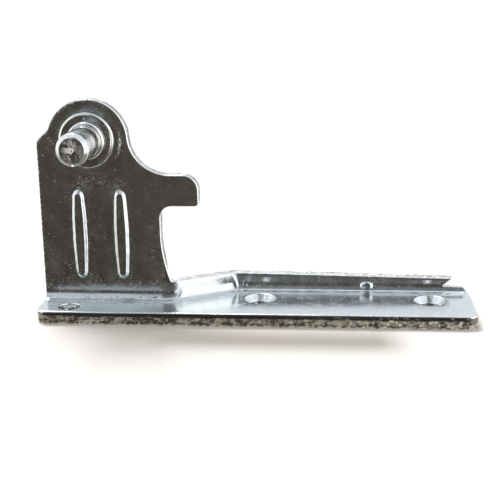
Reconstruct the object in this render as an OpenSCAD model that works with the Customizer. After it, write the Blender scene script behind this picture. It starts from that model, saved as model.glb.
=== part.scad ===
// Sash bracket of a casement window stay: one folded plate, a stud riveted into it and a washer.
// The plate lies on its base. X runs along the base, Y from its front edge to the back, Z up.
// The origin is the middle screw hole's centre, on the underside of the base.

/* [Sheet] */
// Thickness of the steel sheet
sheet_t = 2.6; // [2:0.1:3]
// Inside radius of every bend
bend_r = 2; // [1.5:0.1:2.5]

/* [Base] */
// Length of the base, end to end
base_l = 86; // [78:1:110]
// From the front edge to the inner face of the low lip
base_w = 15.3; // [13.5:0.1:20]
// Radius of the two front corners
corner_r = 2; // [1:0.1:3]

/* [Low lip] */
// Height of the lip over the underside, where it meets the slanted stretch
lip_z = 6.4; // [5.6:0.1:8]
// Height of the lip over the underside at its tip
lip_tip_z = 5.6; // [5.2:0.1:7]
// From the tip of the lip to the right end of the base
lip_tip_x = 3.6; // [3:0.1:6]
// Length, along the base, of the slanted stretch between the ear and the lip
joggle_l = 12.5; // [10:0.1:16]
// Width of the V cut that frees the tip of the lip from the corner of the base
relief_w = 1.8; // [1.2:0.1:2.4]
// Radius of the small pressed gusset in the bend of the lip
gusset_r = 1.4; // [1:0.1:1.8]
// From the right end of the base to the gusset
gusset_x = 20.9; // [16:0.1:24]

/* [Ear] */
// From the front edge of the base to the front face of the ear
ear_y = 8.2; // [7.5:0.1:10]
// Width of the ear's stem
ear_w = 24.1; // [22:0.1:26]
// Height of the shoulder's corner over the underside
shoulder_z = 35; // [33:0.1:37]
// Width that the foot of the stem gains towards the slanted stretch
flare_w = 1.9; // [1.2:0.1:2.6]
// Height over the underside where the flare begins
flare_z = 16.6; // [14:0.1:18]

/* [Stud] */
// From the left end of the base to the stud's axis
stud_x = 10.2; // [9.5:0.1:11]
// Height of the stud's axis over the underside
stud_z = 35.1; // [33.5:0.1:38]
// Radius of the ear's round head, about the stud's axis
head_r = 8; // [7:0.1:9]
// Diameter of the stud's working length
stud_d = 6.35; // [5:0.05:7]
// From the ear's front face to the stud's tip
stud_l = 12.3; // [9:0.1:16]
// Chamfer on the stud's tip
tip_chamfer = 0.75; // [0.3:0.05:1]
// How much wider, in radius, the collar is than the working length
collar_step = 0.6; // [0.4:0.1:0.8]
// Thickness of the collar
collar_t = 0.9; // [0.6:0.1:1.5]
// Diameter of the shank that passes through the washer and the ear
shank_d = 4.8; // [4:0.1:5]
// Diameter of the riveted head behind the ear
peen_d = 7.6; // [6.5:0.1:8.5]
// Height of the riveted head
peen_h = 1; // [0.6:0.1:1.4]
// Gap all round the shank, in the washer and in the ear
shank_gap = 0.05; // [0.02:0.01:0.1]

/* [Washer] */
// Outer diameter of the washer
washer_d = 11; // [9.5:0.1:13]
// Thickness of the washer
washer_t = 1; // [0.6:0.1:1.6]

/* [Hook] */
// How far the hook stands out from the stem
hook_l = 7.7; // [6:0.1:9]
// Depth of the hook, top to underside
hook_h = 6.3; // [5:0.1:7.5]
// Height of the hook's top over the underside of the base
hook_z = 28.2; // [27.5:0.1:29]
// Radius of the hook's upper corner
hook_tip_r = 3.1; // [1.5:0.1:3.8]
// Radius of the hook's lower corner
hook_low_r = 0.8; // [0.4:0.1:1.1]
// Radius of the corner under the hook, against the stem
hook_root_r = 2.2; // [1:0.1:3]
// Radius of the hollow between the round head and the hook
neck_r = 8; // [6:0.1:9]

/* [Beads] */
// Width of each stiffening bead
bead_w = 2.6; // [2:0.1:3.2]
// Length of each bead
bead_l = 17.8; // [12:0.1:19]
// How far a bead stands out of the ear's front face
bead_h = 0.6; // [0.4:0.05:0.9]
// Distance between the two beads
bead_pitch = 8.4; // [7:0.1:10]
// Height of the beads' middle over the underside
bead_z = 16.2; // [15.5:0.1:17]

/* [Screw holes] */
// From the right end of the base to the end hole
end_hole_x = 8.4; // [7.5:0.1:10]
// Distance between the end hole and the middle hole
hole_pitch = 34; // [28:0.1:36]
// From the front edge of the base to these two holes
hole_y = 10; // [8.5:0.1:10]
// Diameter of every screw hole
screw_d = 4.2; // [3.5:0.1:4.5]
// Diameter of the countersinks' rims
sink_d = 6.4; // [5.8:0.1:7]
// Full angle of the countersinks
sink_angle = 82; // [80:1:90]
// From the left end of the base to the corner hole
corner_hole_x = 6; // [5:0.1:8]
// From the front edge of the base to the corner hole
corner_hole_y = 3.3; // [3:0.1:3.6]

/* [Hidden] */
$fn = 64;

slack = 1;                                  // how far a cutter runs past what it cuts
middle_x = base_l - end_hole_x - hole_pitch; // the middle hole, from the left end
bend_top = sheet_t + bend_r;                // height at which a bend has turned upright
joggle_x = ear_w + flare_w;                 // where the slanted stretch leaves the ear's plane
lip_x = joggle_x + joggle_l;                // where it meets the straight lip
joggle_a = atan2(base_w - ear_y, joggle_l); // its angle, seen from above
miter = bend_r * tan(joggle_a / 2);         // shift of a corner between two bend lines
lip_start = [lip_x, base_w];
joggle_start = [joggle_x, ear_y];
head_c = [stud_x, stud_z];
hook_x = ear_w + hook_l;
neck_c = [
    stud_x + sqrt(pow(head_r + neck_r, 2) - pow(hook_z + neck_r - stud_z, 2)),
    hook_z + neck_r
];
flare_h = flare_z - lip_z;
flare_r = (flare_w * flare_w + flare_h * flare_h) / (2 * flare_w);
bead_r = (bead_w * bead_w / 4 + bead_h * bead_h) / (2 * bead_h);
sink_h = (sink_d - screw_d) / 2 / tan(sink_angle / 2);
ear_top = stud_z + head_r;
back_y = base_w + sheet_t;

// Everything is laid out from the front left corner of the base, then shifted to the origin.
module placed() {
    translate([-middle_x, -hole_y, 0]) children();
}

// A flat shape in X and Z, cut through the whole depth of the part.
module elevation() {
    translate([0, back_y + slack, 0]) rotate([90, 0, 0])
        linear_extrude(height = back_y + 2 * slack) children();
}

// What a square corner has outside a round of radius r: cut off an outer one, or put into an inner one.
module corner_waste(r) {
    difference() {
        translate([-slack, -slack]) square(r + slack);
        translate([r, r]) circle(r);
    }
}

// Cross-section of a bend and the wall above it: the wall's front face is at zero.
module bend_section(height) {
    translate([0, bend_top]) square([sheet_t, height - bend_top]);
    translate([-bend_r, bend_top])
        intersection() {
            difference() {
                circle(bend_top);
                circle(bend_r);
            }
            translate([0, -bend_top]) square(bend_top);
        }
}

// One straight stretch of bent-up wall, from a point in the plan, at an angle.
module bent_wall(from, angle, length, height, lead = 0) {
    translate([from.x, from.y, 0]) rotate([0, 0, angle]) translate([-lead, 0, 0])
        rotate([90, 0, 90]) linear_extrude(height = lead + length) bend_section(height);
}

// A tall block on one side of a mitre line through a point in the plan.
module miter_side(at, angle, side) {
    translate([at.x, at.y, -slack]) rotate([0, 0, angle])
        translate([side > 0 ? 0 : -base_l, -base_l / 2, 0]) cube([base_l, base_l, ear_top + 2 * slack]);
}

module flat_base() {
    bend_y = ear_y - bend_r;
    lip_bend_y = base_w - bend_r;
    difference() {
        linear_extrude(height = sheet_t)
            polygon([
                [0, 0], [base_l, 0], [base_l, lip_bend_y], [lip_x + miter, lip_bend_y],
                [joggle_x + miter, bend_y], [0, bend_y]
            ]);
        translate([0, 0, -slack]) linear_extrude(height = sheet_t + 2 * slack) {
            corner_waste(corner_r);
            translate([base_l, 0]) mirror([1, 0]) corner_waste(corner_r);
        }
    }
}

module ear_outline() {
    shoulder = head_c + head_r * [cos(165), sin(165)];
    square([joggle_x + bend_r, bend_top]);
    square([ear_w, hook_z]);
    polygon([[0, 0], [0, shoulder_z], shoulder, head_c, [stud_x, 0]]);
    translate(head_c) circle(head_r);
    difference() {
        polygon([head_c, neck_c, [neck_c.x, hook_z], [stud_x, hook_z]]);
        translate(neck_c) circle(neck_r);
    }
    translate([ear_w, hook_z - hook_h]) hook_outline();
    translate([ear_w, hook_z - hook_h]) mirror([0, 1]) corner_waste(hook_root_r);
    difference() {
        translate([ear_w - slack, 0]) square([flare_w + slack, flare_z]);
        translate([ear_w + flare_r, flare_z]) circle(flare_r);
    }
}

module hook_outline() {
    difference() {
        translate([-slack, 0]) square([hook_l + slack, hook_h]);
        translate([hook_l, hook_h]) rotate(180) corner_waste(hook_tip_r);
        translate([hook_l, 0]) mirror([1, 0]) corner_waste(hook_low_r);
    }
}

// Above clear_z, between the bend and the top of the slanted wall, the ear has no mitre cut.
module ear() {
    clear_z = (bend_top + lip_z) / 2;
    intersection() {
        bent_wall([0, ear_y], 0, hook_x, ear_top);
        elevation() ear_outline();
        union() {
            miter_side(joggle_start, joggle_a / 2, -1);
            translate([0, -slack, clear_z]) cube([base_l, back_y + 2 * slack, ear_top]);
        }
    }
}

module joggle() {
    intersection() {
        bent_wall(joggle_start, joggle_a, joggle_l / cos(joggle_a) + bend_top, lip_z, bend_top);
        miter_side(joggle_start, joggle_a / 2, 1);
        miter_side(lip_start, joggle_a / 2, -1);
    }
}

// The straight lip falls a little towards its tip, where a V cut frees it from the base's corner.
module lip() {
    tip_x = base_l - lip_tip_x;
    relief_x = tip_x - relief_w;
    relief_z = bend_top - bend_r / 3;
    nib_x = tip_x + relief_w;
    intersection() {
        bent_wall([lip_x, base_w], 0, base_l - lip_x, lip_z, bend_top);
        miter_side(lip_start, joggle_a / 2, 1);
        elevation()
            polygon([
                [joggle_x, 0], [joggle_x, lip_z], [lip_x, lip_z], [tip_x, lip_tip_z],
                [relief_x, relief_z], [nib_x, relief_z - bend_r / 3],
                [nib_x + lip_tip_x / 8, relief_z], [base_l, sheet_t], [base_l, 0]
            ]);
    }
}

// One bead's round body: a bar with ball ends, whose side stands bead_h out of a face.
module bead_bar() {
    straight = bead_l - bead_w;
    translate([0, 0, -straight / 2]) cylinder(r = bead_r, h = straight);
    for (end = [-1, 1])
        translate([0, 0, end * straight / 2]) sphere(bead_r);
}

// The two beads' bodies, with their front at a depth in the sheet.
module beads(front_y) {
    for (side = [-1, 1])
        translate([ear_w / 2 + side * bead_pitch / 2, front_y + bead_r, bead_z]) bead_bar();
}

module screw_hole(x, y) {
    translate([x, y, -slack]) cylinder(d = screw_d, h = sheet_t + 2 * slack);
}

module countersink(x, y) {
    translate([x, y, sheet_t - sink_h]) cylinder(d1 = screw_d, d2 = sink_d, h = sink_h);
    translate([x, y, sheet_t]) cylinder(d = sink_d, h = slack);
}

module bracket_plate() {
    color([0.62, 0.64, 0.66]) placed()
        difference() {
            union() {
                flat_base();
                difference() {
                    ear();
                    beads(ear_y + sheet_t - bead_h);
                }
                intersection() {
                    beads(ear_y - bead_h);
                    translate([0, ear_y - bead_h - slack, 0]) cube([ear_w, bead_h + slack + sheet_t / 4, ear_top]);
                }
                joggle();
                lip();
                translate([base_l - gusset_x, base_w - bend_r / 2, sheet_t + bend_r / 4]) sphere(gusset_r);
            }
            for (x = [middle_x, middle_x + hole_pitch]) {
                screw_hole(x, hole_y);
                countersink(x, hole_y);
            }
            screw_hole(corner_hole_x, corner_hole_y);
            translate([stud_x, ear_y + sheet_t + slack, stud_z]) rotate([90, 0, 0])
                cylinder(d = shank_d + 2 * shank_gap, h = sheet_t + 2 * slack);
        }
}

// Puts a turned piece on the stud's axis: its zero is the ear's front face, and it grows to the front.
module on_stud_axis() {
    placed() translate([stud_x, ear_y, stud_z]) rotate([90, 0, 0]) children();
}

module pivot_stud() {
    body_r = stud_d / 2;
    collar_r = body_r + collar_step;
    collar_edge = collar_step / 2;
    peen_edge = peen_h / 2;
    collar_top = washer_t + collar_t;
    color([0.75, 0.75, 0.73]) on_stud_axis()
        rotate_extrude()
            polygon([
                [0, -sheet_t - peen_h], [peen_d / 2 - peen_edge, -sheet_t - peen_h],
                [peen_d / 2, -sheet_t - peen_h + peen_edge], [peen_d / 2, -sheet_t],
                [shank_d / 2, -sheet_t], [shank_d / 2, washer_t],
                [collar_r, washer_t], [collar_r, collar_top - collar_edge],
                [collar_r - collar_edge, collar_top], [body_r, collar_top],
                [body_r, stud_l - tip_chamfer], [body_r - tip_chamfer, stud_l], [0, stud_l]
            ]);
}

module stud_washer() {
    washer_r = washer_d / 2;
    edge = washer_t / 3;
    bore_r = shank_d / 2 + shank_gap;
    color([0.55, 0.56, 0.57]) on_stud_axis()
        rotate_extrude()
            polygon([
                [bore_r, 0], [washer_r, 0], [washer_r, washer_t - edge],
                [washer_r - edge, washer_t], [bore_r, washer_t]
            ]);
}

bracket_plate();
pivot_stud();
stud_washer();
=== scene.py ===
import math

import bpy
import numpy as np
from mathutils import Matrix, Vector
from mathutils.geometry import delaunay_2d_cdt


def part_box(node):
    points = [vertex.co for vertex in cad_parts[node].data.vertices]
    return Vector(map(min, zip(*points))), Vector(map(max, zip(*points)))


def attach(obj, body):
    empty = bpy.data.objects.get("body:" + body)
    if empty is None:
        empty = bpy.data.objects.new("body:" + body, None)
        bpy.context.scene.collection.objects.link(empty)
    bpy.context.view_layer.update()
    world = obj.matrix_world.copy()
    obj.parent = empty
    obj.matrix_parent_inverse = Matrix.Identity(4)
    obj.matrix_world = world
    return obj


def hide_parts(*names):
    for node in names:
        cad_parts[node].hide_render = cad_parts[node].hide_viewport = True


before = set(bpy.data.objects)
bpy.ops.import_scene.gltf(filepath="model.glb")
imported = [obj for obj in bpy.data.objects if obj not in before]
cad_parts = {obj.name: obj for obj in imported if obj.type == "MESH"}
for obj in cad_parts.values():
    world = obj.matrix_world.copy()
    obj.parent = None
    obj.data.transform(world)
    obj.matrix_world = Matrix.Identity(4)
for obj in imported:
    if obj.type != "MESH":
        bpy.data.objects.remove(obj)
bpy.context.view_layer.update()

# ---------------------------------------------------------------- bracket plate
# The bracket itself: one blank of 2.6 mm bright-zinc-plated steel, blanked and pierced in a
# press, two stiffening beads embossed in the ear, then folded up along one jogged line.
# The punch leaves a rolled-over rim on the front faces and a torn, grainy cut below it.
MM = 0.001
plate_lo, plate_hi = (np.array(corner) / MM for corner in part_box("bracket_plate"))
stud_lo, stud_hi = (np.array(corner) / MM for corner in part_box("pivot_stud"))
washer_lo, washer_hi = (np.array(corner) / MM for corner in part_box("stud_washer"))
BASE_L = plate_hi[0] - plate_lo[0]
SHEET_T = 2.6
BACK_Y = plate_hi[1] - plate_lo[1]
LIP_Y = BACK_Y - SHEET_T
EAR_Y = 8.2
BEND_R = 2.0
BEND_Z = SHEET_T + BEND_R
CORNER_R = 2.0
EAR_W = 24.1
FLARE_W, FLARE_Z = 1.9, 16.6
JOGGLE_X, LIP_X = EAR_W + FLARE_W, EAR_W + FLARE_W + 12.5
SLOPE = (LIP_Y - EAR_Y) / (LIP_X - JOGGLE_X)
SOFT = 2.2                                   # half length of a softened corner of the jog
JOG_FADE = (7.5, 12.0)                       # heights between which the jog dies out in the ear
LIP_Z, TIP_Z = 6.4, 5.6
STUD_X = (stud_lo[0] + stud_hi[0]) / 2 - plate_lo[0]
STUD_Z = (stud_lo[2] + stud_hi[2]) / 2
HEAD_R = plate_hi[2] - STUD_Z
SHOULDER_Z = 35.0
HOOK_L, HOOK_H, HOOK_Z = 7.7, 6.3, 28.2
HOOK_TIP_R, HOOK_LOW_R, HOOK_ROOT_R = 3.1, 0.8, 2.2
NECK_R = 8.0
EDGE_STEP = 0.3                              # spacing of the points along a cut edge
ROLL_R = 0.28                                # width of the rolled-over rim
SCREW_HOLES = ((BASE_L - 42.4, 10.0), (BASE_L - 8.4, 10.0))
CORNER_HOLE = (6.0, 3.3)
SCREW_R, SINK_R, SINK_H = 2.1, 3.2, 1.265
STUD_HOLE_R = 2.45

# The fold's inner side, from the base up: a slow lean, a tight crease, then a slow turn into the wall.
LEAN_L, LEAN_TURN = 1.75, math.radians(26)
CREASE_L, CREASE_TURN = 0.2, math.radians(56)
FOLD_L = 1.55
FOLD_STEP = 0.004
FOLD_STEPS = np.arange(0, LEAN_L + CREASE_L + FOLD_L, FOLD_STEP)
FOLD_TURN = np.interp(FOLD_STEPS, (0, LEAN_L, LEAN_L + CREASE_L, LEAN_L + CREASE_L + FOLD_L),
                      (0, LEAN_TURN, CREASE_TURN, math.pi / 2))
FOLD_Y = np.cumsum(np.cos(FOLD_TURN)) * FOLD_STEP
FOLD_Y *= BEND_R / FOLD_Y[-1]
FOLD_RISE = np.cumsum(np.sin(FOLD_TURN)) * FOLD_STEP
FOLD_RISE *= BEND_R / FOLD_RISE[-1]
BEND_M = FOLD_STEPS[-1]


def smooth(u):
    """0 below 0, 1 above 1, and an even S between."""
    u = np.clip(u, 0, 1)
    return u * u * (3 - 2 * u)


def soft_ramp(u, k):
    """0 for negative u and u for positive u, with the corner rounded over a length k each way."""
    return np.where(u < -k, 0, np.where(u > k, u, (u + k) ** 2 / (4 * k)))


def wall_y(x, z):
    """Depth of the upright wall's front face."""
    jog = SLOPE * (soft_ramp(x - JOGGLE_X, SOFT) - soft_ramp(x - LIP_X, SOFT))
    return EAR_Y + jog * smooth((JOG_FADE[1] - z) / (JOG_FADE[1] - JOG_FADE[0]))


def folded(x, m):
    """Where a point of the flat blank's face lands after folding. m runs across the bend line."""
    x, m = np.asarray(x, float), np.asarray(m, float)
    z = SHEET_T + np.interp(m, FOLD_STEPS, FOLD_RISE) + np.maximum(m - BEND_M, 0)
    y = wall_y(x, np.where(m > BEND_M, z, 0)) - BEND_R + np.interp(m, FOLD_STEPS, FOLD_Y)
    y = y + np.minimum(m, 0)
    return np.stack([x + 0 * m, y, z + 0 * x], -1)


def face_normal(surface, x, m, h=0.02):
    """Unit normal of a surface of x and m, by central differences."""
    along = surface(x + h, m) - surface(x - h, m)
    across = surface(x, m + h) - surface(x, m - h)
    n = np.cross(along, across)
    return n / np.linalg.norm(n, axis=-1, keepdims=True)


BEAD_W, BEAD_L, BEAD_H = 2.7, 17.8, 0.70
BEAD_SLOPE = 0.58                            # width of a bead's sloping side
BEAD_X, BEAD_Z = (EAR_W / 2 - 4.2, EAR_W / 2 + 4.2), 16.2
# The small gusset in the fold: its middle, half its width, its height, and where and how far it climbs.
GUSSET_X, GUSSET_HALF, GUSSET_H = BASE_L - 20.9, 1.3, 0.5
GUSSET_M, GUSSET_RISE = LEAN_L + 1.05, 0.85
# The sheet swells towards the stud: radius, width of the slope, height, and how much more at lower right.
SWELL_R, SWELL_SLOPE, SWELL_H, SWELL_MORE = 6.8, 1.6, 0.20, 0.37
SWELL_OFF = (0.6, -0.1)                      # the swell's middle, from the stud's axis
# Press marks where the jog starts and ends: x, height, length, width, lean and rise of each crease.
CREASES = (
    (27.9, 3.6, 0.8, 0.30, 0.9, 0.07), (27.2, 4.3, 0.7, 0.24, 0.3, -0.07), (28.6, 3.0, 0.7, 0.22, 0.2, -0.06),
    (38.0, 4.8, 1.3, 0.26, 2.0, 0.08), (38.7, 4.6, 1.4, 0.24, 1.7, -0.09),
    (39.5, 4.5, 1.4, 0.25, 1.4, 0.10), (40.4, 4.3, 1.2, 0.26, 1.1, -0.06),
)
# Long, faint waves of the sheet: wavelength, heading, phase and height.
WAVES = ((17, 0.3, 0.2, 0.020), (11, 1.4, 1.9, 0.012), (7.3, 2.3, 4.1, 0.006), (5.1, 0.9, 3.0, 0.003))


def emboss(x, m):
    """How far the pressed features and the sheet's own waves lift the face."""
    point = folded(x, m)
    z = point[..., 2]
    lift = 0 * x
    half = (BEAD_L - BEAD_W) / 2
    for bead_x in BEAD_X:
        dz = np.maximum(np.abs(z - BEAD_Z) - half, 0)
        waist = 1 - 0.24 * np.clip((z - BEAD_Z) / half, -1, 1) ** 2
        waist = waist + 0.02 * np.sin(z * 2.1 + bead_x) * np.sin(z * 0.9)
        d = np.hypot((x - bead_x) / waist, dz)
        lift = lift + BEAD_H * smooth((BEAD_W / 2 + 0.10 - d) / BEAD_SLOPE)
    swell_x, swell_z = x - STUD_X - SWELL_OFF[0], z - STUD_Z - SWELL_OFF[1]
    swell = np.hypot(swell_x, swell_z)
    lower_right = np.clip((swell_x - 0.35 * swell_z) / np.maximum(swell, 0.1), 0, 1)
    swelling = (SWELL_H + SWELL_MORE * lower_right) * smooth((SWELL_R - swell) / SWELL_SLOPE)
    lift = lift + swelling * (m > BEND_M)
    crease_m = LEAN_L + 0.1 + 0.07 * np.sin(1.7 * x + 0.5) + 0.05 * np.sin(4.1 * x + 2.0)
    scored = 0.03 + 0.05 * np.clip(np.sin(2.3 * x) + np.sin(0.9 * x + 1.0), 0, 1)
    lift = lift - scored * np.exp(-((m - crease_m) / 0.10) ** 2) * smooth((EAR_W + 1 - x) / 2)
    for cx, cz, length, width, lean, rise in CREASES:
        u = (x - cx) * math.cos(lean) + (z - cz) * math.sin(lean)
        v = -(x - cx) * math.sin(lean) + (z - cz) * math.cos(lean)
        lift = lift + rise * np.exp(-(u / length) ** 2 - (v / width) ** 2) * (m > -0.3)
    for length, heading, phase, height in WAVES:
        along = x * math.cos(heading) + m * math.sin(heading)
        swing = np.sin(2 * math.pi * along / length + phase)
        lift = lift + height * swing * np.where(m > 0, 1, 0.5)
    return lift


def pressed(x, m):
    """The finished face: the folded blank with its pressed features, and the small gusset in the fold."""
    across = (np.asarray(x, float) - GUSSET_X) / GUSSET_HALF
    along = (np.asarray(m, float) - GUSSET_M) / GUSSET_RISE
    dome = GUSSET_H * np.clip(1 - across ** 2 - along ** 2, 0, 1) ** 0.7
    push = dome[..., None] * np.array([0, -math.sqrt(0.5), math.sqrt(0.5)])
    return folded(x, m) + face_normal(folded, x, m) * emboss(x, m)[..., None] + push


def arc(cx, cy, r, start, end):
    steps = max(3, int(abs(math.radians(end - start)) * r / EDGE_STEP))
    a = np.radians(np.linspace(start, end, steps + 1))
    return [(cx + r * c, cy + r * s) for c, s in zip(np.cos(a), np.sin(a))]


def base_points(points):
    """Points of the base, given by x and depth, as points of the blank."""
    return [(x, y - float(wall_y(np.array(x), np.array(0.0))) + BEND_R) for x, y in points]


def wall_points(points):
    """Points of the bend and the wall, given by x and height, as points of the blank."""
    blank = []
    for x, z in points:
        if z < BEND_Z:
            blank.append((x, float(np.interp(z - SHEET_T, FOLD_RISE, FOLD_STEPS))))
        else:
            blank.append((x, BEND_M + z - BEND_Z))
    return blank


def resampled(points, step):
    """The closed outline with points at most one step apart, its corners eased a little."""
    points = np.array(points)
    out = []
    for a, b in zip(points, np.roll(points, -1, 0)):
        length = np.linalg.norm(b - a)
        if length < 1e-6:
            continue
        count = max(1, math.ceil(length / step - 1e-6))
        out += [a + (b - a) * k / count for k in range(count)]
    out = np.array(out)
    return 0.5 * out + 0.25 * np.roll(out, 1, 0) + 0.25 * np.roll(out, -1, 0)


def blank_outline():
    """The blank's outline, counter-clockwise, from the base's front left corner."""
    neck_z = HOOK_Z + NECK_R
    neck_x = STUD_X + math.sqrt((HEAD_R + NECK_R) ** 2 - (neck_z - STUD_Z) ** 2)
    meet = math.degrees(math.atan2(neck_z - STUD_Z, neck_x - STUD_X))
    flare_h = FLARE_Z - LIP_Z
    flare_r = (FLARE_W ** 2 + flare_h ** 2) / (2 * FLARE_W)
    flare_end = 180 + math.degrees(math.asin(flare_h / flare_r))
    hook_x, hook_low = EAR_W + HOOK_L, HOOK_Z - HOOK_H
    base = arc(CORNER_R, CORNER_R, CORNER_R, 180, 270)
    base += [(x, 0.0) for x in np.linspace(CORNER_R, BASE_L - CORNER_R, 240)[1:-1]]
    base += arc(BASE_L - CORNER_R, CORNER_R, CORNER_R, 270, 360)
    nib = BEND_Z - BEND_R / 3
    wall = [(BASE_L, SHEET_T), (BASE_L - 0.5, SHEET_T + 0.5)]
    wall += [(BASE_L - 1.3, nib), (BASE_L - 5.4, nib + 0.05)]
    wall += [(BASE_L - 3.6, TIP_Z), (LIP_X, LIP_Z), (JOGGLE_X, LIP_Z)]
    wall += arc(EAR_W + flare_r, FLARE_Z, flare_r, flare_end, 180)
    wall += arc(EAR_W + HOOK_ROOT_R, hook_low - HOOK_ROOT_R, HOOK_ROOT_R, 180, 90)
    wall += arc(hook_x - HOOK_LOW_R, hook_low + HOOK_LOW_R, HOOK_LOW_R, 270, 360)
    wall += arc(hook_x - HOOK_TIP_R, HOOK_Z - HOOK_TIP_R, HOOK_TIP_R, 0, 90)
    wall += arc(neck_x, neck_z, NECK_R, 270, 180 + meet)
    wall += arc(STUD_X, STUD_Z, HEAD_R, meet, 165)[1:]
    wall += [(0.35, SHOULDER_Z + 0.25), (0, SHOULDER_Z - 0.3), (0, SHEET_T)]
    return resampled(base_points(base) + wall_points(wall), EDGE_STEP)


def behind(x, m):
    """The blank's other face: the sheet's thickness away, with shallow grooves behind the beads."""
    z = folded(x, m)[..., 2]
    half = (BEAD_L - BEAD_W) / 2
    depth = SHEET_T + 0 * x
    for bead_x in BEAD_X:
        d = np.hypot(x - bead_x, np.maximum(np.abs(z - BEAD_Z) - half, 0))
        depth = depth - BEAD_H * 0.8 * smooth((BEAD_W / 2 - d) / 0.9)
    for length, heading, _, height in WAVES[:2]:
        along = x * math.cos(heading) - m * math.sin(heading)
        depth = depth - height * (1 + np.sin(2 * math.pi * along / length))
    return folded(x, m) - face_normal(folded, x, m) * depth[..., None]


def round_hole(cx, cy, r, on_wall=False):
    """A hole's outline, clockwise, so that the metal lies on its left like the blank's own."""
    count = max(40, int(2 * math.pi * r / EDGE_STEP))
    angles = np.linspace(0, -2 * math.pi, count, endpoint=False)
    ring = [(cx + r * math.cos(a), cy + r * math.sin(a)) for a in angles]
    return np.array(wall_points(ring) if on_wall else base_points(ring))


def inside(points, loops):
    """Which points lie in the metal, by counting crossings with every loop."""
    hit = np.zeros(len(points), bool)
    for loop in loops:
        for (ax, ay), (bx, by) in zip(loop, np.roll(loop, -1, 0)):
            crosses = (ay > points[:, 1]) != (by > points[:, 1])
            if crosses.any():
                edge_x = ax + (points[:, 1] - ay) / (by - ay if by != ay else 1) * (bx - ax)
                hit ^= crosses & (points[:, 0] < edge_x)
    return hit


def nearest(points, others):
    """Distance from each point to the nearest of the others."""
    best = np.full(len(points), 1e9)
    for k in range(0, len(others), 200):
        gap = points[:, None, :] - others[None, k:k + 200, :]
        best = np.minimum(best, np.sqrt((gap ** 2).sum(-1)).min(1))
    return best


def grid(box, step_x, step_m):
    """Staggered points over a rectangle of the blank: its two x and its two m."""
    x0, x1, m0, m1 = box
    out = []
    for k, m in enumerate(np.arange(m0, m1, step_m)):
        row = np.arange(x0 + (k % 2) * step_x / 2, x1, step_x)
        out.append(np.stack([row, 0 * row + m], 1))
    return np.concatenate(out)


def side_rings(name):
    """(offset into the metal, depth, roughness, cut?) for the rings of an edge, from face to back."""
    if name == "rim":
        turns = np.radians([0, 22, 45, 66, 82])
        roll = [(ROLL_R * (1 - math.sin(a)), 0.24 * (1 - math.cos(a)), 0, 0) for a in turns]
        cut = [(0, 0.30, 0.004, 1), (0.0, 0.62, 0.006, 1), (0.0, 0.86, 0.010, 1)]
        torn = [(0.03, d, 0.045, 1) for d in (1.05, 1.3, 1.55, 1.8, 2.05, 2.28)]
        back = [(0.02, SHEET_T - 0.14, 0.03, 1), (0.09, SHEET_T - 0.02, 0.02, 0), (ROLL_R, SHEET_T, 0, 0)]
        return roll + cut + torn + back
    if name == "sink":
        wall_a = SCREW_R - SINK_R
        down = (0, 0.2, 0.4, 0.6, 0.8, 0.97)
        cone = [(0.02 + (wall_a - 0.02) * k, 0.07 + (SINK_H - 0.07) * k, 0.004, 0) for k in down]
        bore = [(wall_a, SINK_H + 0.07, 0.004, 0), (wall_a, 1.7, 0.01, 0), (wall_a, 2.1, 0.02, 0),
                (wall_a, SHEET_T - 0.1, 0.02, 0), (wall_a + 0.08, SHEET_T, 0.01, 0),
                (0.22, SHEET_T, 0, 0)]
        return [(0.22, 0, 0, 0), (0.12, 0.012, 0, 0), (0.05, 0.035, 0, 0)] + cone + bore
    return [(0.25, 0, 0, 0), (0.1, 0.03, 0, 0), (0.02, 0.1, 0, 0), (0, 0.25, 0.004, 0),
            (0, 0.9, 0.006, 0), (0, 1.4, 0.02, 0), (0, 2.0, 0.02, 0),
            (0, SHEET_T - 0.08, 0.02, 0), (0.08, SHEET_T, 0, 0), (0.25, SHEET_T, 0, 0)]


def clearance(loop, normal, want):
    """How far each point of the outline may move inwards without coming too near another part of it."""
    limit = np.full(len(loop), want)
    for _ in range(12):
        moved = loop + normal * limit[:, None]
        gap = np.sqrt(((moved[:, None, :] - loop[None]) ** 2).sum(-1)).min(1)
        limit = np.where(gap < 0.96 * limit, limit * 0.8, limit)
    for _ in range(3):
        limit = np.minimum(limit, (np.roll(limit, 1) + limit + np.roll(limit, -1)) / 3)
    return limit


BLANK_SHOULDER = BEND_M + SHOULDER_Z - BEND_Z
BLANK_TOP = BEND_M + plate_hi[2] - BEND_Z
LEFT_EDGE, LEFT_ROLL = 0.8, 0.25             # along the ear's left the rim rolls over only this much
WAVER = 4                                    # points of an edge between its coarser wobbles
EDGE_WEAR, EDGE_WEAR_L = 0.4, 0.8            # how worn the face is by an edge, and how fast that fades
UV_MM = 100                                  # millimetres to one unit of the texture's own space


def rim_room(loop, inward, width):
    """What share of its full width the rolled-over rim has at each point: less on the ear's left."""
    x, m = loop.T
    left_side = (x < LEFT_EDGE) | (x < STUD_X + 0.5) & (m > BLANK_SHOULDER)
    return clearance(loop, inward, width) / width * np.where(left_side, LEFT_ROLL, 1)


def ring_wear(depth):
    """How much handling has rubbed an edge at this depth: most just below the face."""
    if depth < 0.02:
        return 0.5
    return 1.0 if 0.02 < depth < 0.6 else 0.2


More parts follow.
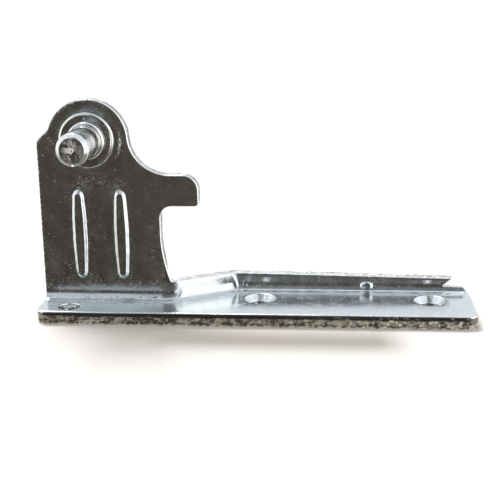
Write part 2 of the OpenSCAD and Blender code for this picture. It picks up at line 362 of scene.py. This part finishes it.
def add_edge(mesh, loop, kind, rng):
    """Adds one edge to the mesh, as rings from the face to the back. Gives the face's own outline there,
    and the points of the first and the last ring."""
    x, m = loop.T
    point, normal = pressed(x, m), face_normal(pressed, x, m)
    ahead = np.roll(point, -1, 0) - np.roll(point, 1, 0)
    ahead /= np.linalg.norm(ahead, axis=1, keepdims=True)
    inward = np.cross(normal, ahead)
    inward /= np.linalg.norm(inward, axis=1, keepdims=True)
    flat = np.roll(loop, -1, 0) - np.roll(loop, 1, 0)
    flat = np.stack([-flat[:, 1], flat[:, 0]], 1) / np.linalg.norm(flat, axis=1, keepdims=True)
    rings = side_rings(kind)
    room = rim_room(loop, flat, rings[0][0]) if kind == "rim" else np.ones(len(loop))
    run = np.concatenate([[0], np.cumsum(np.linalg.norm(np.diff(point, axis=0), axis=1))])
    knots = np.arange(0, len(loop) + WAVER, WAVER)
    wobbles = rng.normal(0, 1, len(loop) // WAVER + 2)[:len(knots)]
    coarse = np.interp(np.arange(len(loop)), knots, wobbles)
    ids = []
    for offset, depth, rough, _ in rings:
        push = offset * room + rough * (0.7 * rng.normal(0, 1, len(loop)) + 0.7 * coarse)
        start = len(mesh["verts"])
        mesh["verts"] += list(point + inward * push[:, None] - normal * depth)
        mesh["wear"] += [ring_wear(depth)] * len(loop)
        mesh["uvs"] += [(u / UV_MM, depth / SHEET_T) for u in run]
        ids.append(np.arange(start, start + len(loop)))
    for (upper, a), (lower, b) in zip(zip(ids, rings), zip(ids[1:], rings[1:])):
        for i in range(len(loop)):
            j = (i + 1) % len(loop)
            mesh["faces"].append((lower[i], lower[j], upper[j], upper[i]))
            # painted light and shade: the wall's edges take the lighter copy of the cut edge, the base's
            # edges the darker one
            lit_or_shaded_cut_slot = 2 if m[i] > 0 else 1
            mesh["slots"].append(lit_or_shaded_cut_slot if a[3] and (b[3] or a[1] > 1) else 0)
    return loop + flat * (rings[0][0] * room)[:, None], ids[0], ids[-1]


def fine_patches():
    """The face's finely meshed parts, as a box on the blank and its two steps. Later ones replace earlier."""
    crease_top, wall_m = LEAN_L + CREASE_L, BEND_M - BEND_Z
    bead_half = BEAD_L / 2 + 1.1
    bead_low, bead_high = BEAD_Z - bead_half + wall_m, BEAD_Z + bead_half + wall_m
    patches = [
        ((0, BASE_L, -0.2, BEND_M + 0.6), 0.36, 0.17),
        ((0, BASE_L, LEAN_L - 0.25, crease_top + 0.25), 0.27, 0.06),
    ]
    for x in BEAD_X:
        patches.append(((x - 2.0, x + 2.0, bead_low, bead_high), 0.17, 0.17))
    patches.append(((JOGGLE_X - 0.5, LIP_X + 4.5, crease_top + 0.3, BEND_M + 2.2), 0.2, 0.2))
    patches.append(((GUSSET_X - 1.7, GUSSET_X + 1.7, LEAN_L - 0.4, BEND_M + 0.8), 0.08, 0.08))
    return patches


def face_points(outlines):
    """Points inside the face, closer together where something is pressed into it."""
    points = grid((0, BASE_L, -LIP_Y, BLANK_TOP), 0.62, 0.55)
    for box, step_x, step_m in fine_patches():
        beside = (points[:, 0] < box[0]) | (points[:, 0] > box[1])
        points = points[beside | (points[:, 1] < box[2]) | (points[:, 1] > box[3])]
        points = np.concatenate([points, grid(box, step_x, step_m)])
    points = points[inside(points, outlines)]
    return points[nearest(points, np.concatenate(outlines)) > 0.2]


def face_triangles(points, outlines):
    """Triangles of the face, as numbers of the outlines' points followed by the points inside."""
    edges, start = [], 0
    for loop in outlines:
        edges += [(start + i, start + (i + 1) % len(loop)) for i in range(len(loop))]
        start += len(loop)
    every = np.concatenate(list(outlines) + [points])
    result = delaunay_2d_cdt([Vector(p) for p in every], edges, [], 0, 1e-7)
    place, triangles, origin = result[0], result[2], result[3]
    triangles = np.array([t for t in triangles if len(t) == 3])
    place = np.array([tuple(p) for p in place])
    triangles = triangles[inside(place[triangles].mean(1), outlines)]
    return np.array([o[0] for o in origin])[triangles]


def build_plate():
    """The bracket's mesh: points, faces, wear, material slots and texture places."""
    rng = np.random.default_rng(11)
    loops = [(blank_outline(), "rim")]
    loops += [(round_hole(x, y, SINK_R), "sink") for x, y in SCREW_HOLES]
    loops.append((round_hole(*CORNER_HOLE, SCREW_R), "bore"))
    loops.append((round_hole(STUD_X, STUD_Z, STUD_HOLE_R, on_wall=True), "bore"))
    mesh = {"verts": [], "faces": [], "wear": [], "slots": [], "uvs": []}
    outlines, front_ids, back_ids = zip(*[add_edge(mesh, loop, kind, rng) for loop, kind in loops])
    points = face_points(outlines)
    front_start = len(mesh["verts"])
    back_start = front_start + len(points)
    mesh["verts"] += list(pressed(points[:, 0], points[:, 1]))
    mesh["verts"] += list(behind(points[:, 0], points[:, 1]))
    distance = nearest(points, np.concatenate(outlines))
    mesh["wear"] += list(np.exp(-distance / EDGE_WEAR_L) * EDGE_WEAR) * 2
    mesh["uvs"] += [(p[0] / UV_MM, p[1] / UV_MM) for p in points] * 2
    front = np.concatenate(list(front_ids) + [front_start + np.arange(len(points))])
    back = np.concatenate(list(back_ids) + [back_start + np.arange(len(points))])
    triangles = face_triangles(points, outlines)
    mesh["faces"] += [tuple(front[t]) for t in triangles]
    mesh["faces"] += [tuple(back[t][::-1]) for t in triangles]
    mesh["slots"] += [0] * (2 * len(triangles))
    box = plate_hi - plate_lo * (1, 1, 0)
    verts = np.clip(np.array(mesh["verts"]), (0, 0, 0), box)
    return verts, mesh["faces"], np.array(mesh["wear"]), mesh["slots"], mesh["uvs"]


def make_piece(name, verts, faces, wear, slots, uvs, materials):
    """A smooth mesh object from millimetre points laid out from the base's front left corner."""
    data = bpy.data.meshes.new(name)
    placed = [tuple((v + np.array([plate_lo[0], plate_lo[1], 0])) * MM) for v in verts]
    data.from_pydata(placed, [], [tuple(int(i) for i in f) for f in faces])
    data.polygons.foreach_set("material_index", slots)
    data.polygons.foreach_set("use_smooth", [True] * len(data.polygons))
    attribute = data.attributes.new("wear", "FLOAT", "POINT")
    attribute.data.foreach_set("value", np.asarray(wear, np.float32))
    layer = data.uv_layers.new(name="UVMap")
    corner = np.array(uvs, np.float32)[[loop.vertex_index for loop in data.loops]]
    layer.data.foreach_set("uv", corner.ravel())
    for material in materials:
        data.materials.append(material)
    data.validate()
    obj = bpy.data.objects.new(name, data)
    bpy.context.scene.collection.objects.link(obj)
    return obj


def add(tree, kind, inputs=(), **settings):
    """A node with its settings and its inputs: a constant, or an output to link."""
    node = tree.nodes.new(kind)
    for key, value in settings.items():
        setattr(node, key, value)
    for key, value in dict(inputs).items():
        if isinstance(value, bpy.types.NodeSocket):
            tree.links.new(value, node.inputs[key])
        else:
            node.inputs[key].default_value = value
    return node


def math_node(tree, operation, a, b=0.0, c=0.0):
    return add(tree, "ShaderNodeMath", {0: a, 1: b, 2: c}, operation=operation).outputs[0]


def ramp(tree, value, low, high, to_low=0.0, to_high=1.0):
    spans = {"Value": value, "From Min": low, "From Max": high, "To Min": to_low, "To Max": to_high}
    return add(tree, "ShaderNodeMapRange", spans, interpolation_type="SMOOTHSTEP").outputs[0]


def noise(tree, where, scale, detail=4.0, rough=0.55, distortion=0.0):
    inputs = {"Vector": where, "Scale": scale, "Detail": detail, "Roughness": rough, "Distortion": distortion}
    return add(tree, "ShaderNodeTexNoise", inputs).outputs[0]


def voronoi(tree, where, scale):
    """Distance from each point to the nearest of scattered cell centres."""
    inputs = {"Vector": where, "Scale": scale, "Randomness": 1.0}
    return add(tree, "ShaderNodeTexVoronoi", inputs).outputs["Distance"]


def product(tree, a, b):
    return math_node(tree, "MULTIPLY", a, b)


def bumped(tree, height, distance):
    return add(tree, "ShaderNodeBump", {"Strength": 1.0, "Distance": distance, "Height": height}).outputs[0]


def mesh_mask(tree, name):
    """A mask kept on the mesh's points. It is 0 on a mesh that has none."""
    return add(tree, "ShaderNodeAttribute", attribute_name=name).outputs["Fac"]


def blend(tree, factor, a, b):
    node = add(tree, "ShaderNodeMix", {0: factor}, data_type="RGBA")
    for socket, value in ((node.inputs[6], a), (node.inputs[7], b)):
        if isinstance(value, bpy.types.NodeSocket):
            tree.links.new(value, socket)
        else:
            socket.default_value = value
    return node.outputs[2]


def new_group(name, inputs, outputs):
    tree = bpy.data.node_groups.new(name, "ShaderNodeTree")
    for direction, sockets in (("INPUT", inputs), ("OUTPUT", outputs)):
        for label, kind, value in sockets:
            socket = tree.interface.new_socket(label, in_out=direction, socket_type=kind)
            if value is not None:
                socket.default_value = value
    return tree, tree.nodes.new("NodeGroupInput"), tree.nodes.new("NodeGroupOutput")


def millimetres(tree):
    where = tree.nodes.new("ShaderNodeTexCoord").outputs["Object"]
    return add(tree, "ShaderNodeVectorMath", {0: where, 3: 1 / MM}, operation="SCALE").outputs[0]


def zinc_grain():
    """Bright zinc's own marks: soft clouds, fine pits, bright specks, scuffed haze, and their height."""
    masks = [(label, "NodeSocketFloat", None) for label in ("Clouds", "Pits", "Specks", "Height", "Haze")]
    tree, given, out = new_group("zinc_grain", [("Grain", "NodeSocketFloat", 1.0)], masks)
    where = millimetres(tree)
    clouds = ramp(tree, noise(tree, where, 0.42, 5.0, 0.65, 0.6), 0.38, 0.68)
    fine = noise(tree, where, 2.6, 6.0, 0.65)
    pits = ramp(tree, noise(tree, where, 3.4, 3.0, 0.5), 0.62, 0.72)
    cells = voronoi(tree, where, 1.35)
    worked = mesh_mask(tree, "worked")
    chance = math_node(tree, "MULTIPLY_ADD", worked, 0.2, noise(tree, where, 0.45, 3.0))
    chance = ramp(tree, chance, 0.50, 0.66)
    blotches = ramp(tree, noise(tree, where, 0.30, 3.0, 0.5, 0.8), 0.46, 0.66, 0.0, 0.17)
    scuffs = product(tree, worked, ramp(tree, noise(tree, where, 0.95, 3.0, 0.55, 0.8), 0.47, 0.60))
    haze = math_node(tree, "MAXIMUM", blotches, scuffs)
    specks = product(tree, ramp(tree, cells, 0.24, 0.11), chance)
    height = math_node(tree, "MULTIPLY_ADD", fine, given.outputs["Grain"], product(tree, pits, -0.5))
    height = math_node(tree, "MULTIPLY_ADD", specks, 0.6, height)
    for label, value in zip((mask[0] for mask in masks), (clouds, pits, specks, height, haze)):
        tree.links.new(value, out.inputs[label])
    return tree


def rubbed():
    """Where edges have been handled bright: the mesh's own edge mask, broken up by noise."""
    tree, given, out = new_group("rubbed_edges", [("Amount", "NodeSocketFloat", 1.0)],
                                 [("Mask", "NodeSocketFloat", None)])
    mask = mesh_mask(tree, "wear")
    broken = ramp(tree, noise(tree, millimetres(tree), 1.6, 4.0), 0.3, 0.62, 0.35, 1.0)
    value = product(tree, product(tree, mask, broken), given.outputs["Amount"])
    tree.links.new(value, out.inputs["Mask"])
    return tree


GRAIN, RUBBED = zinc_grain(), rubbed()


def new_material(name):
    material = bpy.data.materials.new(name)
    material.use_nodes = True
    tree = material.node_tree
    tree.nodes.clear()
    shader = tree.nodes.new("ShaderNodeBsdfPrincipled")
    out = tree.nodes.new("ShaderNodeOutputMaterial")
    tree.links.new(shader.outputs[0], out.inputs[0])
    return material, tree, shader


def connected(tree, shader, **sockets):
    """Links each value to the shader's socket of that name."""
    for label, value in sockets.items():
        tree.links.new(value, shader.inputs[label.replace("_", " ")])


def ramped_roughness(tree, mask, low, high):
    return math_node(tree, "MULTIPLY_ADD", mask, high - low, low)


def zinc(name, dull, bright, rough_low, rough_high, bump, haze=0.12):
    """Plated metal: reflective, a little cloudy, pitted and scuffed, rubbed brighter along its edges."""
    material, tree, shader = new_material(name)
    grain_node = add(tree, "ShaderNodeGroup", node_tree=GRAIN)
    painted_sink_shade = mesh_mask(tree, "painted_sink_shade")
    worn = add(tree, "ShaderNodeGroup", node_tree=RUBBED).outputs["Mask"]
    colour = blend(tree, grain_node.outputs["Clouds"], dull, bright)
    colour = blend(tree, product(tree, grain_node.outputs["Pits"], 0.35), colour, (0.30, 0.31, 0.32, 1))
    colour = blend(tree, grain_node.outputs["Specks"], colour, (0.93, 0.94, 0.95, 1))
    colour = blend(tree, product(tree, worn, 0.5), colour, (0.88, 0.88, 0.87, 1))
    # painted shade: darkens the points marked as shaded, the near halves of the countersinks
    colour = blend(tree, painted_sink_shade, colour, (0.15, 0.15, 0.15, 1))
    rough = ramped_roughness(tree, grain_node.outputs["Clouds"], rough_low, rough_high)
    rough = math_node(tree, "MULTIPLY_ADD", grain_node.outputs["Pits"], 0.15, rough)
    rough = math_node(tree, "MULTIPLY_ADD", grain_node.outputs["Specks"], 0.45, rough)
    normal = bumped(tree, grain_node.outputs["Height"], bump)
    metal = math_node(tree, "MULTIPLY_ADD", grain_node.outputs["Haze"], -haze, 1.0)
    connected(tree, shader, Base_Color=colour, Roughness=rough, Normal=normal, Metallic=metal)
    return material


COARSE_X = (plate_lo[0] + 30, plate_hi[0] - 8)   # between these the torn grains turn coarse


def cut_edge(name, dark, light, burnish):
    """The punched edge: a burnished dark band by the face, and torn, tarnished grains behind it. Near-white
    flecks on the grains and along the real burr are painted glints.
    """
    material, tree, shader = new_material(name)
    uv = add(tree, "ShaderNodeUVMap", uv_map="UVMap").outputs[0]
    depth = add(tree, "ShaderNodeSeparateXYZ", {0: uv}).outputs[1]
    where = millimetres(tree)
    coarse = ramp(tree, add(tree, "ShaderNodeSeparateXYZ", {0: where}).outputs[0], *COARSE_X)
    wander = math_node(tree, "MULTIPLY_ADD", noise(tree, where, 0.8, 4.0), 0.40, -0.20)
    torn = ramp(tree, math_node(tree, "ADD", depth, wander), 0.34, 0.46)
    flow = {0: where, 1: (0.6, 1.0, 1.2)}
    stretched = add(tree, "ShaderNodeVectorMath", flow, operation="MULTIPLY").outputs[0]
    mottle = noise(tree, stretched, 1.0, 4.0, 0.55, 0.9)
    spread = noise(tree, where, 0.15, 2.0)
    mottle = math_node(tree, "MULTIPLY_ADD", math_node(tree, "ADD", spread, -0.5), 0.5, mottle)
    grains = product(tree, ramp(tree, voronoi(tree, where, 1.05), 0.48, 0.20), coarse)
    # painted glints: near-white flecks on the torn grain and along the burr at the back; the burr is real,
    # its whiteness is painted glint
    painted_glints = ramp(tree, noise(tree, where, 2.2, 4.0, 0.6), 0.57, 0.68)
    burr = ramp(tree, depth, 0.86, 0.95)
    burr = product(tree, burr, ramp(tree, noise(tree, where, 1.1, 3.0, 0.7), 0.42, 0.54))
    painted_glints = math_node(tree, "MAXIMUM", painted_glints, burr)
    tarnish = blend(tree, ramp(tree, mottle, 0.40, 0.64), dark, light)
    tarnish = blend(tree, product(tree, grains, 0.9), tarnish, (0.95, 0.88, 0.76, 1))
    tarnish = blend(tree, painted_glints, tarnish, (0.93, 0.92, 0.88, 1))
    colour = blend(tree, torn, burnish, tarnish)
    rough = math_node(tree, "MULTIPLY_ADD", torn, 0.22, 0.26)
    rough = math_node(tree, "MULTIPLY_ADD", mottle, 0.18, rough)
    height = product(tree, noise(tree, where, 2.4, 5.0, 0.7), torn)
    height = math_node(tree, "MULTIPLY_ADD", grains, 0.9, height)
    normal = bumped(tree, height, 0.00016)
    metal = math_node(tree, "MULTIPLY_ADD", torn, -0.35, 1.0)
    metal = math_node(tree, "MULTIPLY_ADD", burr, -0.5, metal)
    connected(tree, shader, Base_Color=colour, Roughness=rough, Normal=normal, Metallic=metal)
    return material


def mark(obj, name, values):
    """A mask on the mesh's points for the materials to read."""
    attribute = obj.data.attributes.new(name, "FLOAT", "POINT")
    attribute.data.foreach_set("value", np.asarray(values, np.float32))


def mesh_points(obj):
    """The mesh's points in millimetres, from the base's front left corner."""
    flat = np.zeros(len(obj.data.vertices) * 3)
    obj.data.vertices.foreach_get("co", flat)
    return (flat.reshape(-1, 3) / MM - np.array([plate_lo[0], plate_lo[1], 0])).T


def hill(u, size):
    return np.exp(-(u / size) ** 2)


plate_zinc = zinc("plate_zinc", (0.71, 0.735, 0.75, 1), (0.79, 0.81, 0.82, 1), 0.14, 0.23, 0.000008)
# Two colourings of one punched edge: painted shade in the darker one, used on the base's edges, and painted
# light in the lighter one, used on the wall's edges.
shaded_plate_cut = cut_edge("plate_cut_edge", (0.10, 0.08, 0.055, 1), (0.60, 0.55, 0.45, 1),
                     (0.22, 0.205, 0.18, 1))
lit_cut_edge = cut_edge("cut_edge_lit_copy", (0.30, 0.29, 0.27, 1), (0.70, 0.69, 0.66, 1),
                           (0.60, 0.60, 0.59, 1))
plate = make_piece("plate_body", *build_plate(), [plate_zinc, shaded_plate_cut, lit_cut_edge])

# Scuffed where the tools pressed: at the beads, under the washer, along the fold and by the flare.
px, py, pz = mesh_points(plate)
worked = 0.7 * hill(px - STUD_X - 1.5, 4.0) * hill(pz - STUD_Z + 8.3, 1.3)
worked += 0.6 * hill(pz - 4.9, 1.1) * (px < EAR_W + 1)
worked += 0.5 * hill(px - EAR_W + 1, 2.0) * hill(pz - 12, 6.0)
for bead_x in BEAD_X:
    worked += 0.9 * hill(px - bead_x, 1.7) * hill(pz - BEAD_Z - BEAD_L / 2 - 0.4, 1.3)
    worked += 0.5 * hill(np.abs(px - bead_x) - BEAD_W / 2, 0.4) * (np.abs(pz - BEAD_Z) < BEAD_L / 2)
mark(plate, "worked", np.clip(worked, 0, 1) * (py > EAR_Y - 2.5) * (py < EAR_Y + 1))
# Painted shade: the near half of each countersink is darkened, so that it looks shaded where the lip mirrors
# it.
painted_sink_shade = 0 * px
for hole_x, hole_y in SCREW_HOLES:
    in_sink = (np.hypot(px - hole_x, py - hole_y) < SINK_R + 0.05) & (pz < SHEET_T - 0.05)
    painted_sink_shade += in_sink & (py < hole_y - 0.5)
mark(plate, "painted_sink_shade", painted_sink_shade)
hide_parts("bracket_plate")
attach(plate, "root")

# ---------------------------------------------------------------- pivot stud
# The pin on which the stay's arm turns: a steel rivet turned on a lathe, with a small collar,
# its shank upset behind the ear. Zinc-plated; the cut tip is chamfered and keeps rough marks.
SEGMENTS = 144
RING_STEP = 0.35
TIP_R, TIP_STEP = 3.1, 0.12                  # the stud's end faces have closer rings, to carry their marks


def eased(profile, steps=5):
    """The profile's points (radius, distance, easing) with every corner rounded by its easing."""
    out = []
    for k, (r, l, ease) in enumerate(profile):
        here = np.array([r, l], float)
        if ease == 0 or k in (0, len(profile) - 1):
            out.append(here)
            continue
        before, after = (np.array(profile[j][:2], float) - here for j in (k - 1, k + 1))
        a = here + before / np.linalg.norm(before) * min(ease, np.linalg.norm(before) * 0.48)
        b = here + after / np.linalg.norm(after) * min(ease, np.linalg.norm(after) * 0.48)
        out += [(1 - t) ** 2 * a + 2 * t * (1 - t) * here + t * t * b for t in np.linspace(0, 1, steps)]
    fine = [out[0]]
    for a, b in zip(out, out[1:]):
        end_face = max(a[0], b[0]) < TIP_R and a[1] == b[1]
        count = max(1, math.ceil(np.linalg.norm(b - a) / (TIP_STEP if end_face else RING_STEP)))
        fine += [a + (b - a) * k / count for k in range(1, count + 1)]
    return fine


def turned(profile, shape, closed=False):
    """A body of revolution about the stud's axis. shape(r, l, angle) gives radial and axial offsets."""
    rings = eased(profile)
    angle = np.linspace(0, 2 * math.pi, SEGMENTS, endpoint=False)
    verts, faces, wear, uvs = [], [], [], []
    ids = []
    for k, (r, l) in enumerate(rings):
        start = len(verts)
        if r < 1e-6:
            verts.append(np.array([STUD_X, EAR_Y - l, STUD_Z]))
            ids.append(np.full(SEGMENTS, start))
        else:
            dr, dl = shape(r, l, angle)
            ring = [STUD_X + (r + dr) * np.cos(angle), EAR_Y - (l + dl), STUD_Z + (r + dr) * np.sin(angle)]
            verts += list(np.stack(ring, 1))
            ids.append(np.arange(start, start + SEGMENTS))
        count = len(verts) - start
        before, after = rings[max(k - 1, 0)], rings[min(k + 1, len(rings) - 1)]
        turn = abs(math.atan2(*(after - rings[k])) - math.atan2(*(rings[k] - before)))
        wear += [min(1.0, turn * 1.5)] * count
        uvs += [(a / 10, l / UV_MM) for a in angle[:count]]
    pairs = list(zip(ids, ids[1:])) + ([(ids[-1], ids[0])] if closed else [])
    for lower, upper in pairs:
        for i in range(SEGMENTS):
            j = (i + 1) % SEGMENTS
            corners = [lower[i], lower[j], upper[j], upper[i]]
            corners = [c for n, c in enumerate(corners) if c not in corners[:n]]
            if len(corners) > 2:
                faces.append(tuple(corners))
    return np.array(verts), faces, np.array(wear), [0] * len(faces), uvs


STUD_R, SHANK_R, PEEN_R = 3.175, 2.4, (stud_hi[0] - stud_lo[0]) / 2
STUD_L = (plate_lo[1] + EAR_Y) - stud_lo[1]
PEEN_L = stud_hi[1] - (plate_lo[1] + EAR_Y)
WASHER_T = (plate_lo[1] + EAR_Y) - washer_lo[1]
COLLAR_R, COLLAR_L = 3.775, WASHER_T + 0.9
stud_rng = np.random.default_rng(5)
# Marks of the tip's face: distance from the axis, angle, size and height of each.
TIP_MARKS = [(stud_rng.uniform(0, 2.2), stud_rng.uniform(0, 2 * math.pi), stud_rng.uniform(0.14, 0.42),
              stud_rng.uniform(-0.07, 0.05)) for _ in range(70)]


def stud_shape(r, l, angle):
    dl = 0 * angle
    if l > STUD_L - 0.8 or l < -SHEET_T - 0.3:
        side = 1 if l > 0 else -1
        for mr, ma, size, height in TIP_MARKS:
            d2 = (r * np.cos(angle) - mr * math.cos(ma)) ** 2 + (r * np.sin(angle) - mr * math.sin(ma)) ** 2
            dl = dl + side * height * np.exp(-d2 / size ** 2)
        dl = np.minimum(dl, 0) if side > 0 else np.maximum(dl, 0)
    return -0.008 * (1 + np.sin(2 * angle + 0.4)), dl


stud_profile = [
    (0, -PEEN_L, 0), (PEEN_R * 0.62, -PEEN_L, 0.9), (PEEN_R, -SHEET_T - 0.45, 0.5), (PEEN_R, -SHEET_T, 0.05),
    (SHANK_R, -SHEET_T, 0.02), (SHANK_R, WASHER_T, 0.02), (COLLAR_R, WASHER_T, 0.08),
    (COLLAR_R, COLLAR_L - 0.35, 0.3), (COLLAR_R - 0.35, COLLAR_L, 0.2), (STUD_R, COLLAR_L, 0.12),
    (STUD_R, STUD_L - 0.75, 0.3), (STUD_R - 0.75, STUD_L, 0.18), (0, STUD_L, 0),
]
stud_zinc = zinc("stud_zinc", (0.66, 0.66, 0.65, 1), (0.80, 0.79, 0.77, 1), 0.10, 0.17, 0.000005, haze=0.9)
stud = make_piece("stud_turned", *turned(stud_profile, stud_shape), [stud_zinc])
px, py, pz = mesh_points(stud)
on_tip = py < EAR_Y - STUD_L + 0.25
mark(stud, "worked", hill(px - STUD_X + 0.3, 1.1) * hill(pz - STUD_Z - 0.1, 1.6) * on_tip)
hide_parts("pivot_stud")
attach(stud, "root")

# ---------------------------------------------------------------- stud washer
# The plain ring under the stud's collar, on which the arm slides: punched from 1 mm strip,
# so its front rim is rolled over on the outside. Same bright zinc, slightly dished by riveting.
WASHER_R = (washer_hi[0] - washer_lo[0]) / 2


def washer_shape(r, l, angle):
    """Slightly out of round, dished, and worn low along the rim at the lower right."""
    at_rim = l > WASHER_T - 0.4 and r > WASHER_R - 0.6
    worn = 0.16 * np.clip(np.cos(angle + 0.5), 0, 1) * at_rim
    dished = -0.02 * (1 + np.sin(angle * 3 + 1.3)) * (l > WASHER_T / 2)
    return -0.015 * (1 + np.sin(2 * angle + 0.7)), dished - worn


washer_profile = [
    (SHANK_R + 0.05, 0.0, 0), (WASHER_R - 0.05, 0.0, 0.08), (WASHER_R, 0.3, 0.1),
    (WASHER_R, WASHER_T - 0.35, 0.25), (WASHER_R - 0.35, WASHER_T, 0.3),
    (SHANK_R + 1.2, WASHER_T - 0.06, 0.3), (SHANK_R + 0.05, WASHER_T - 0.02, 0),
]
washer_zinc = zinc("washer_zinc", (0.64, 0.65, 0.65, 1), (0.78, 0.78, 0.77, 1), 0.13, 0.24, 0.00001)
washer = make_piece("washer_ring", *turned(washer_profile, washer_shape, closed=True), [washer_zinc])
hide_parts("stud_washer")
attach(washer, "root")

# ---------------------------------------------------------------- floor, light and camera
# A plain pale table under plain soft light: bright all round, and dark in front of the part,
# where the person at the camera and the room behind them are mirrored by the ear.
FLOOR_SIZE = 12.0
FLOOR_GAP = 0.00002                          # keeps the floor just clear of the base's underside
floor_mesh = bpy.data.meshes.new("floor")
side = FLOOR_SIZE / 2
floor_corners = [(-side, -side, 0), (side, -side, 0), (side, side, 0), (-side, side, 0)]
floor_mesh.from_pydata(floor_corners, [], [(0, 1, 2, 3)])
floor = bpy.data.objects.new("floor", floor_mesh)
bpy.context.scene.collection.objects.link(floor)
floor.location.z = -FLOOR_GAP
floor.visible_glossy = False
floor_material, tree, shader = new_material("floor_paper")
shader.inputs["Base Color"].default_value = (0.92, 0.925, 0.93, 1)
shader.inputs["Roughness"].default_value = 0.9
floor_mesh.materials.append(floor_material)
from_below = add(tree, "ShaderNodeNewGeometry").outputs["Backfacing"]
clear = tree.nodes.new("ShaderNodeBsdfTransparent").outputs[0]
see_through = add(tree, "ShaderNodeMixShader", {0: from_below, 1: shader.outputs[0], 2: clear})
output = [n for n in tree.nodes if n.type == "OUTPUT_MATERIAL"][0]
tree.links.new(see_through.outputs[0], output.inputs[0])

world = bpy.data.worlds.new("studio")
bpy.context.scene.world = world
world.use_nodes = True
tree = world.node_tree
tree.nodes.clear()
direction = tree.nodes.new("ShaderNodeTexCoord").outputs["Generated"]
axes = add(tree, "ShaderNodeSeparateXYZ", {0: direction})
dx, dy, dz = axes.outputs
ahead = math_node(tree, "MAXIMUM", product(tree, dy, -1.0), 0.01)
across = math_node(tree, "DIVIDE", dx, ahead)
upward = math_node(tree, "DIVIDE", dz, ahead)
# The dark room in front, from low to high: gloom, a low and a high pale part, a dark strip, a bright lamp.
DARK_LEFT, DARK_RIGHT, EDGE = -1.0, 0.72, 0.12
right_of_it = ramp(tree, across, DARK_LEFT - EDGE, DARK_LEFT + EDGE)
left_of_it = ramp(tree, across, DARK_RIGHT + EDGE, DARK_RIGHT - EDGE)
sector = product(tree, right_of_it, left_of_it)
sector = product(tree, sector, ramp(tree, dy, 0.0, -0.05))
room = ramp(tree, noise(tree, direction, 5.0, 3.0), 0.32, 0.68)
gloom = blend(tree, room, (0.044, 0.037, 0.028, 1), (0.115, 0.100, 0.082, 1))
on_left = ramp(tree, across, -0.12, -0.20)
risen = math_node(tree, "MULTIPLY_ADD", on_left, 0.14, upward)
low_sky = blend(tree, on_left, (0.17, 0.19, 0.20, 1), (0.62, 0.70, 0.76, 1))
high_sky = blend(tree, on_left, (0.34, 0.38, 0.41, 1), (0.68, 0.76, 0.82, 1))
front = blend(tree, ramp(tree, risen, 0.24, 0.42), gloom, low_sky)
front = blend(tree, ramp(tree, upward, 0.7, 2.0), front, high_sky)
front = blend(tree, ramp(tree, upward, 2.1, 2.4), front, (0.05, 0.05, 0.05, 1))
front = blend(tree, ramp(tree, upward, 2.9, 3.3), front, (1.1, 1.17, 1.22, 1))
sides = blend(tree, ramp(tree, dx, -0.2, 0.6), (1.55, 1.55, 1.53, 1), (1.9, 1.9, 1.9, 1))
sides = blend(tree, ramp(tree, dz, 0.1, 0.9), sides, (0.92, 1.0, 1.06, 1))
sides = blend(tree, ramp(tree, dz, -0.55, -0.15), (0.26, 0.24, 0.21, 1), sides)
sides = blend(tree, ramp(tree, dy, 0.1, 0.6), sides, (0.85, 0.90, 0.95, 1))
mirrored = blend(tree, sector, sides, front)
rays = add(tree, "ShaderNodeLightPath").outputs
shown = blend(tree, rays["Is Diffuse Ray"], mirrored, (0.56, 0.505, 0.44, 1))
shown = blend(tree, rays["Is Camera Ray"], shown, (1.0, 1.0, 1.0, 1))
background = add(tree, "ShaderNodeBackground", {"Color": shown, "Strength": 1.0})
out = tree.nodes.new("ShaderNodeOutputWorld")
tree.links.new(background.outputs[0], out.inputs[0])

sun = bpy.data.lights.new("window_light", "SUN")
sun.energy, sun.angle, sun.color = 2.35, math.radians(24), (0.98, 0.99, 1.0)
sun_object = bpy.data.objects.new("window_light", sun)
sun_object.rotation_euler = Vector((0.28, -0.42, -0.86)).to_track_quat("-Z", "Y").to_euler()
bpy.context.scene.collection.objects.link(sun_object)

# A narrow flag, seen only by the light, that deepens the soft shadow in front of the base.
flag_mesh = bpy.data.meshes.new("flag")
flag_x, flag_y, flag_z = plate_lo[0] + 43, plate_lo[1] + 1, 17
FLAG_CORNERS = ((-22, -5), (-22, 5), (22, 5), (22, -5))
flag_points = [((flag_x + a) * MM, (flag_y + b) * MM, flag_z * MM) for a, b in FLAG_CORNERS]
flag_mesh.from_pydata(flag_points, [], [(0, 1, 2, 3)])
flag = bpy.data.objects.new("flag", flag_mesh)
bpy.context.scene.collection.objects.link(flag)
flag.visible_camera = flag.visible_glossy = flag.visible_diffuse = flag.visible_transmission = False
flag_mesh.materials.append(floor_material)

CAMERA_AZIMUTH, CAMERA_ELEVATION = math.radians(4.95), math.radians(15.23)
CAMERA_ROLL = math.radians(-0.8)
CAMERA_DISTANCE, CAMERA_FIELD = 0.1943, math.radians(27.43)
target = Vector(plate_lo * MM) + Vector((42.55, 0.0, 15.45)) * MM
turn = Matrix.Rotation(CAMERA_AZIMUTH, 4, "Z") @ Matrix.Rotation(math.pi / 2 - CAMERA_ELEVATION, 4, "X")
camera_data = bpy.data.cameras.new("camera")
camera_data.sensor_width = 36.0
camera_data.lens = camera_data.sensor_width / 2 / math.tan(CAMERA_FIELD / 2)
camera_data.clip_start, camera_data.clip_end = 0.01, 50.0
camera = bpy.data.objects.new("camera", camera_data)
eye = target + turn @ Vector((0, 0, CAMERA_DISTANCE))
camera.matrix_world = Matrix.Translation(eye) @ turn @ Matrix.Rotation(CAMERA_ROLL, 4, "Z")
bpy.context.scene.collection.objects.link(camera)
bpy.context.scene.camera = camera
bpy.context.scene.view_settings.view_transform = "Standard"
